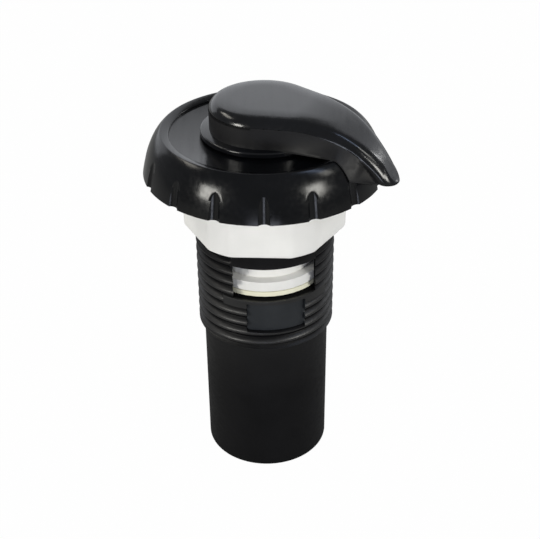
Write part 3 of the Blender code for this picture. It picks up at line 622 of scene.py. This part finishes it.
def scallop_face(direction, height):
    """Distance of the scallop's round bar from the axis; direction is measured from the bar's middle line.

    The bar leans in with the dome, so its axis comes closer by the lean's tangent for each millimetre up.
    """
    centre = CAP_RADIUS - SCALLOP_DEPTH + SCALLOP_RADIUS - (height - CAP_BOTTOM) * math.tan(SCALLOP_LEAN)
    across = centre * np.sin(direction)
    reach = np.sqrt(np.maximum(SCALLOP_RADIUS**2 - across**2, 0))
    return np.where(np.abs(across) < SCALLOP_RADIUS, centre * np.cos(direction) - reach, CAP_RADIUS)


# The dome is a stretch of an ellipse turned round the axis, cut wherever a scallop's bar comes closer to it.
dome_angle = np.linspace(DOME_START, DOME_END, 60)
dome_r = DOME_CENTRE_RADIUS + DOME_SEMI_WIDTH * np.cos(dome_angle)
dome_z = DOME_CENTRE_HEIGHT + DOME_SEMI_HEIGHT * np.sin(dome_angle)

# Each row has its own columns: some across each scallop, from edge to edge, and some from there to the next.
probe = np.linspace(0, SCALLOP_EDGE_SEARCH, 600)
past_edge = scallop_face(probe, dome_z[:, None]) >= dome_r[:, None]
border = np.maximum(probe[np.argmax(past_edge, axis=1)], LEAST_BORDER)[:, None]
period = 2 * math.pi / SCALLOP_COUNT
inner_share = np.linspace(-1, 1, 17)
outer_share = np.linspace(0, 1, 13)[1:-1]
direction = np.concatenate([border * inner_share, border + (period - 2 * border) * outer_share], axis=1)
cut = np.minimum(dome_r[:, None], scallop_face(direction, dome_z[:, None]))
cut[:, len(inner_share) :] = dome_r[:, None]
turns = np.arange(SCALLOP_COUNT) * period
cap_direction = (turns[None, :, None] + direction[:, None, :]).reshape(len(dome_r), -1)
cap_r = np.repeat(cut[:, None, :], SCALLOP_COUNT, axis=1).reshape(len(dome_r), -1)
cap_z = np.repeat(dome_z[:, None], cap_r.shape[1], axis=1)

# From the dome's crest over the land, down into the recess, round the hole, and back under the cap.
land = np.array(
    [
        (CREST_RADIUS - 0.12, CREST + 0.08),
        (CREST_RADIUS - 0.4, CREST + 0.07),
        (CREST_RADIUS - LAND_WIDTH + 0.5, CREST - LAND_DROP + 0.08),
        (CREST_RADIUS - LAND_WIDTH + 0.15, CREST - LAND_DROP - 0.08),
        (CREST_RADIUS - LAND_WIDTH, CREST - LAND_DROP - 0.35),
        (CREST_RADIUS - LAND_WIDTH, DISC_TOP + 0.25),
        (CREST_RADIUS - LAND_WIDTH - 0.1, DISC_TOP + 0.07),
        (CREST_RADIUS - LAND_WIDTH - 0.3, DISC_TOP),
        (STEM_HOLE, DISC_TOP),
        (STEM_HOLE, DISC_TOP - CAP_WALL),
        (CREST_RADIUS - 0.5, DISC_TOP - CAP_WALL),
        (CAP_RADIUS - CAP_WALL - 0.3, CAP_BOTTOM + 3.0),
        (CAP_RADIUS - CAP_WALL, CAP_BOTTOM),
    ]
)
land_r, land_z = land[:, 0:1], land[:, 1:2]
last = cap_direction[-1:]
cap_r = np.concatenate([cap_r, np.repeat(land_r, cap_r.shape[1], axis=1)])
cap_z = np.concatenate([cap_z, np.repeat(land_z, cap_z.shape[1], axis=1)])
cap_direction = np.concatenate([cap_direction, np.repeat(last, len(land), axis=0)])
cap_direction[-1] = cap_direction[0]
cap_points = np.stack([cap_r * np.cos(cap_direction), cap_r * np.sin(cap_direction), cap_z], axis=-1)
cap = mesh_object("cap_moulding", cap_points, grid_faces(*cap_r.shape, True, True), 38)

# Gloss-moulded black ABS: the deepest black of the valve, with long clear lights that follow the dome.
cap.data.materials.append(moulded("abs_black_gloss", "#07080A", "#0B0C0F", 0.18, 0.5, 1.34, 0.008))
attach(cap, "valve_body")
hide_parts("cap")


# ---- Lever ---------------------------------------------------------------------------------------------
# A teardrop lever of the same black ABS: a round head over the axis, a thin base disc that turns in the
# cap's recess, and an arm that sweeps down over the dome. Its skirt flares to the dome and ends in a round
# nose, and the finger reaches on past the rim. Here x runs along the arm and y to its side.
LEVER_DIRECTION = math.radians(-28.0)
LEVER_BOTTOM = DISC_TOP + 0.3
LEVER_TOP = LEVER_BOTTOM + 11.5
LEVER_GAP = 0.45
BASE_RADIUS = 19.8
BASE_TOP = LEVER_BOTTOM + 1.8
BASE_SUNK = 0.9
BASE_COLUMNS = 128
HEAD_RADIUS = 17.0
FILLET = 3.5
CROWN_WIDTH = 7.5
CROWN_RADIUS = 34.0
SWEEP_START = 14.0
SWEEP_RADIUS = 35.3
FINGER_RADIUS = 5.2
FINGER_REACH = 45.6
FINGER_FLOOR = 111.7
FINGER_EDGE = 0.9
EDGE_LEAVES = 35.6
EDGE_SLOPE = 1.4
KEEL_TUCK = 0.12
KEEL_TAPER = 0.3
KEEL_LIFT = 0.3
SKIRT_BOTTOM = 109.7
SKIRT_ARCH = 0.46
SKIRT_EDGE = 0.55
SKIRT_ROOT_HALF = 14.2
SKIRT_TAPER = 0.093
SKIRT_REACH = 38.6
NOSE_RADIUS = 20.0
INSET_LIMIT = 0.97
HEAD_COLUMNS = 40
FLANK_COLUMNS = 40
ARM_COLUMNS = 26
TIP_COLUMNS = 28


def softer_maximum(a, b, blend):
    """The larger of two values, with the corner between them rounded over the blend length."""
    return (a + b + np.sqrt((a - b) ** 2 + blend**2)) / 2


def spine(x):
    """Height of the lever's top: flat over the head, then one arc down, never under the finger's edge."""
    run = np.clip(x - SWEEP_START, 0, SWEEP_RADIUS)
    arc = LEVER_TOP - SWEEP_RADIUS + np.sqrt(SWEEP_RADIUS**2 - run**2)
    return softer_maximum(arc, FINGER_FLOOR + FINGER_EDGE, 0.5)


def skirt_half(x):
    """Half width of the skirt: the head's circle, a soft neck, then a straight taper."""
    circle = np.sqrt(np.maximum(0, HEAD_RADIUS**2 - x**2))
    flank = SKIRT_ROOT_HALF - SKIRT_TAPER * (x - HEAD_RADIUS / 2)
    return softer_maximum(circle, flank, 1.2)


def underside(x, y):
    """Height of the lever's underside: the running gap over the cap, an arch, or sunk in the base disc."""
    radius = np.hypot(x, y)
    share = np.clip((radius - LEVER_GAP - DOME_CENTRE_RADIUS) / DOME_SEMI_WIDTH, 0, 1)
    dome = DOME_CENTRE_HEIGHT + DOME_SEMI_HEIGHT * np.sqrt(1 - share**2)
    over_cap = np.where(radius <= CREST_RADIUS, CREST + LEVER_GAP, dome)
    arched = np.maximum(over_cap, SKIRT_BOTTOM + SKIRT_ARCH * y)
    return np.where(radius < BASE_RADIUS - 0.5, BASE_TOP - BASE_SUNK, arched)


def to_arm(points):
    """Turn points from the arm's own x and y to its direction over the cap."""
    c, s = math.cos(LEVER_DIRECTION), math.sin(LEVER_DIRECTION)
    x, y, z = np.moveaxis(points, -1, 0)
    return np.stack([c * x - s * y, s * x + c * y, z], axis=-1)


# The top's half outline: the head's circle, its common tangent with the finger's circle, and that circle.
finger_centre = FINGER_REACH - FINGER_RADIUS
tangent = math.acos((HEAD_RADIUS - FINGER_RADIUS) / finger_centre)
tangent_way = np.array([math.cos(tangent), math.sin(tangent)])
root = HEAD_RADIUS * tangent_way
end = np.array([finger_centre, 0]) + FINGER_RADIUS * tangent_way

# The nose starts where the skirt's taper meets its round end, and each step comes closer to that.
nose_x = SKIRT_REACH
for _ in range(12):
    nose_x = SKIRT_REACH - NOSE_RADIUS + math.sqrt(NOSE_RADIUS**2 - skirt_half(nose_x) ** 2)
head_angle = np.linspace(math.pi, tangent, HEAD_COLUMNS, endpoint=False)
tip_angle = np.linspace(tangent, 0, TIP_COLUMNS)
flank_x = np.linspace(root[0], nose_x, FLANK_COLUMNS, endpoint=False)
straight_x = np.concatenate([flank_x, np.linspace(nose_x, end[0], ARM_COLUMNS, endpoint=False)])
straight_y = root[1] + (end[1] - root[1]) * (straight_x - root[0]) / (end[0] - root[0])
top_x = np.concatenate(
    [HEAD_RADIUS * np.cos(head_angle), straight_x, finger_centre + FINGER_RADIUS * np.cos(tip_angle)]
)
top_y = np.concatenate([HEAD_RADIUS * np.sin(head_angle), straight_y, FINGER_RADIUS * np.sin(tip_angle)])
facing = np.concatenate([head_angle, np.full(FLANK_COLUMNS + ARM_COLUMNS, tangent), tip_angle])
inward = np.stack([-np.cos(facing), -np.sin(facing)])

# The skirt's half outline, column for column under the top's: head, flank, and the nose's round end.
nose_first = HEAD_COLUMNS + FLANK_COLUMNS
past = np.clip(np.arange(len(top_x)) - nose_first, 0, None) / (len(top_x) - 1 - nose_first)
foot_y = skirt_half(nose_x) * (1 - past)
foot_x = SKIRT_REACH - NOSE_RADIUS + np.sqrt(NOSE_RADIUS**2 - foot_y**2)
foot_x[:HEAD_COLUMNS], foot_y[:HEAD_COLUMNS] = top_x[:HEAD_COLUMNS], top_y[:HEAD_COLUMNS]
foot_x[HEAD_COLUMNS:nose_first] = flank_x
foot_y[HEAD_COLUMNS:nose_first] = skirt_half(flank_x)

# The finger's lower edge leaves the fillet and runs down to the finger's floor; the keel is its inner line.
edge_start = spine(EDGE_LEAVES) - FILLET + 0.2
falling = softer_minimum(spine(top_x) - FILLET - 0.2, edge_start - EDGE_SLOPE * (top_x - EDGE_LEAVES), 0.8)
edge_z = softer_maximum(falling, FINGER_FLOOR, 0.6)
fillet = softer_minimum(FILLET, 0.8 * (spine(top_x) - edge_z), 0.4) * np.ones_like(top_x)
foot = np.stack([foot_x, foot_y, underside(foot_x, foot_y)])
rim = foot + np.array([[0.0], [0.0], [SKIRT_EDGE]])
wall = np.stack([top_x, top_y, spine(top_x) - fillet])


def flared(share):
    """A line of the flared side: it climbs evenly, and moves in quickly at first and then less."""
    straighten = smooth_step(20.0, nose_x, foot_x)
    across = share + (1 - straighten) * share * (1 - share)
    return np.stack(
        [
            rim[0] + (wall[0] - rim[0]) * across,
            rim[1] + (wall[1] - rim[1]) * across,
            rim[2] + (wall[2] - rim[2]) * share,
        ]
    )


# Up the flank the side is only flared. Past the nose's start it goes in under the finger to the keel, comes
# out to the finger's lower edge and climbs to the fillet. The keys guide a curve round that corner.
turned_under = smooth_step(0.0, 0.2, past)
tucked = FINGER_EDGE / 2 * smooth_step(0.0, 0.3, past)
keel_x = top_x + (foot_x - top_x) * 0.3
keel_y = top_y * (1 - KEEL_TUCK - KEEL_TAPER * past)
keel = np.stack([keel_x, keel_y, edge_z + KEEL_LIFT * turned_under])
lower_edge = np.stack([top_x + inward[0] * tucked, np.maximum(top_y + inward[1] * tucked, 0), edge_z])
keys = [
    flared(0.80) + (rim + (keel - rim) * 0.86 - flared(0.80)) * turned_under,
    flared(0.87) + (keel - flared(0.87)) * turned_under,
    flared(0.92) + (lower_edge - flared(0.92)) * turned_under,
    flared(0.97) + (lower_edge + (wall - lower_edge) * 0.55 - flared(0.97)) * turned_under,
]

# Rings from the middle of the underside out to the skirt, up the side, over the fillet and back in.
rings = []
for share in np.linspace(0, INSET_LIMIT, 10):
    rings.append(np.stack([foot_x, foot_y * share, underside(foot_x, foot_y * share)]))
rings += [foot, rim]
for share in np.linspace(0.06, 1, 14):
    bent = flared(0.80 * share)
    rings.append(bent + (rim + (keys[0] - rim) * share - bent) * turned_under)
for t in np.linspace(0, 1, 10)[1:]:
    a, b, c, d = (1 - t) ** 3, 3 * t * (1 - t) ** 2, 3 * t * t * (1 - t), t**3
    rings.append(a * keys[0] + b * keys[1] + c * keys[2] + d * keys[3])
rings += [keys[3] + (wall - keys[3]) * share for share in (0.35, 0.7)]
reach = np.minimum(HEAD_RADIUS, INSET_LIMIT * top_y / np.maximum(-inward[1], 1e-6))
reach[:HEAD_COLUMNS] = INSET_LIMIT * HEAD_RADIUS
reach[-TIP_COLUMNS:] = INSET_LIMIT * FINGER_RADIUS
crown_share = 1 - smooth_step(18.0, 32.0, top_x)
fillet_first = len(rings)
for turn in np.linspace(0, math.pi / 2, 13):
    inset = np.minimum(fillet * (1 - math.cos(turn)), reach)
    x, y = top_x + inward[0] * inset, np.maximum(top_y + inward[1] * inset, 0)
    crown = crown_share * (CROWN_WIDTH - inset) ** 2 / (2 * CROWN_RADIUS)
    rings.append(np.stack([x, y, spine(x) - fillet * (1 - math.sin(turn)) - crown]))
for share in (0.25, 0.5, 0.75, 1.0):
    inset = np.minimum(fillet + (CROWN_WIDTH - fillet) * share, np.maximum(reach, fillet))
    x, y = top_x + inward[0] * inset, np.maximum(top_y + inward[1] * inset, 0)
    crown = crown_share * (CROWN_WIDTH - np.minimum(inset, CROWN_WIDTH)) ** 2 / (2 * CROWN_RADIUS)
    rings.append(np.stack([x, y, spine(x) - crown]))
inner_x, inner_y, inner_z = rings[-1]
for share in np.linspace(1, 0, 9)[1:]:
    crown_z = inner_z + (spine(inner_x) - inner_z) * (1 - share**2)
    rings.append(np.stack([inner_x, inner_y * share, crown_z]))
shell = np.stack(rings).transpose(0, 2, 1)

# The base disc is a section turned round the axis.
base_profile = np.array(
    [
        (0.0, LEVER_BOTTOM),
        (BASE_RADIUS - 0.3, LEVER_BOTTOM),
        (BASE_RADIUS, LEVER_BOTTOM + 0.3),
        (BASE_RADIUS, BASE_TOP - 0.55),
        (BASE_RADIUS - 0.05, BASE_TOP - 0.3),
        (BASE_RADIUS - 0.2, BASE_TOP - 0.1),
        (BASE_RADIUS - 0.5, BASE_TOP),
        (0.0, BASE_TOP),
    ]
)
base_turn = np.linspace(0, 2 * math.pi, BASE_COLUMNS, endpoint=False)
base_r, base_z = base_profile[:, 0:1], np.repeat(base_profile[:, 1:2], BASE_COLUMNS, axis=1)
base_points = np.stack([base_r * np.cos(base_turn), base_r * np.sin(base_turn), base_z], axis=-1)

# The shell is one half of the arm and the other is its mirror image. The faces below the fillet are numbered
# for a finish of their own.
quads = grid_faces(*shell.shape[:2], False, False)
both_sides = np.concatenate([to_arm(shell).reshape(-1, 3), to_arm(shell * (1, -1, 1)).reshape(-1, 3)])
both_faces = np.concatenate([quads, quads[:, ::-1] + shell.shape[0] * shell.shape[1]])
below_fillet = (quads[:, 0] // shell.shape[1] < fillet_first).astype(np.int32)
arm = mesh_object("lever_arm_moulding", both_sides, both_faces, 42, np.tile(below_fillet, 2))
base = mesh_object("lever_base_disc", base_points, grid_faces(*base_points.shape[:2], False, True), 38)

# Black ABS polished by hands, with bright clear lights on top. The sides, which the mould drew along as it
# opened, are scuffed and mirror nothing clearly.
handled_finish = moulded("abs_black_handled", "#08090B", "#0D0E12", 0.17, 0.5, 1.43, 0.008)
drawn_finish = moulded("abs_black_drawn", "#0A0A0C", "#0F0F12", 0.52, 0.4, 1.40, 0.006)
arm.data.materials.append(handled_finish)
arm.data.materials.append(drawn_finish)
base.data.materials.append(handled_finish)
for piece in (arm, base):
    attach(piece, "lever")
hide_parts("handle")


# ---- Poppet, seal and the pieces inside ----------------------------------------------------------------
# The white poppet and its cream washer, seen through the window, and the pieces that drive and seal them.
# They keep the solids' own meshes and get a finish each.

# Moulded acetal: the poppet is clean white and slightly waxy, the stem its natural ivory.
poppet_finish = moulded("acetal_white", "#EAEAE8", "#F1F1F0", 0.36, 0.5, 1.48, 0.008)
stem_finish = moulded("acetal_natural", "#E2DED2", "#EAE6DC", 0.38, 0.5, 1.48, 0.008)

# Soft cream sheet, cut with a die: matt and even, with hardly a light on its edge.
seal_finish = moulded("soft_sheet_cream", "#F1EFD6", "#F7F5E0", 0.55, 0.4, 1.45, 0.02)

# Rubber, as moulded rings and as grey sheet: dull, with a faint cloudiness.
rubber_finish = moulded("nitrile_rubber_black", "#151515", "#1E1E1E", 0.55, 0.3, 1.50, 0.01)
sheet_finish = moulded("rubber_sheet_grey", "#555553", "#605F5D", 0.65, 0.3, 1.50, 0.02)
finishes = {
    "plunger": poppet_finish,
    "plunger_seal": seal_finish,
    "stem": stem_finish,
    "stem_o_ring_lower": rubber_finish,
    "stem_o_ring_upper": rubber_finish,
    "bonnet_o_ring": rubber_finish,
    "bonnet": body_finish,
    "flange_gasket": sheet_finish,
}
for node, finish in finishes.items():
    for slot in frame["nodes"][node].material_slots:
        slot.material = finish
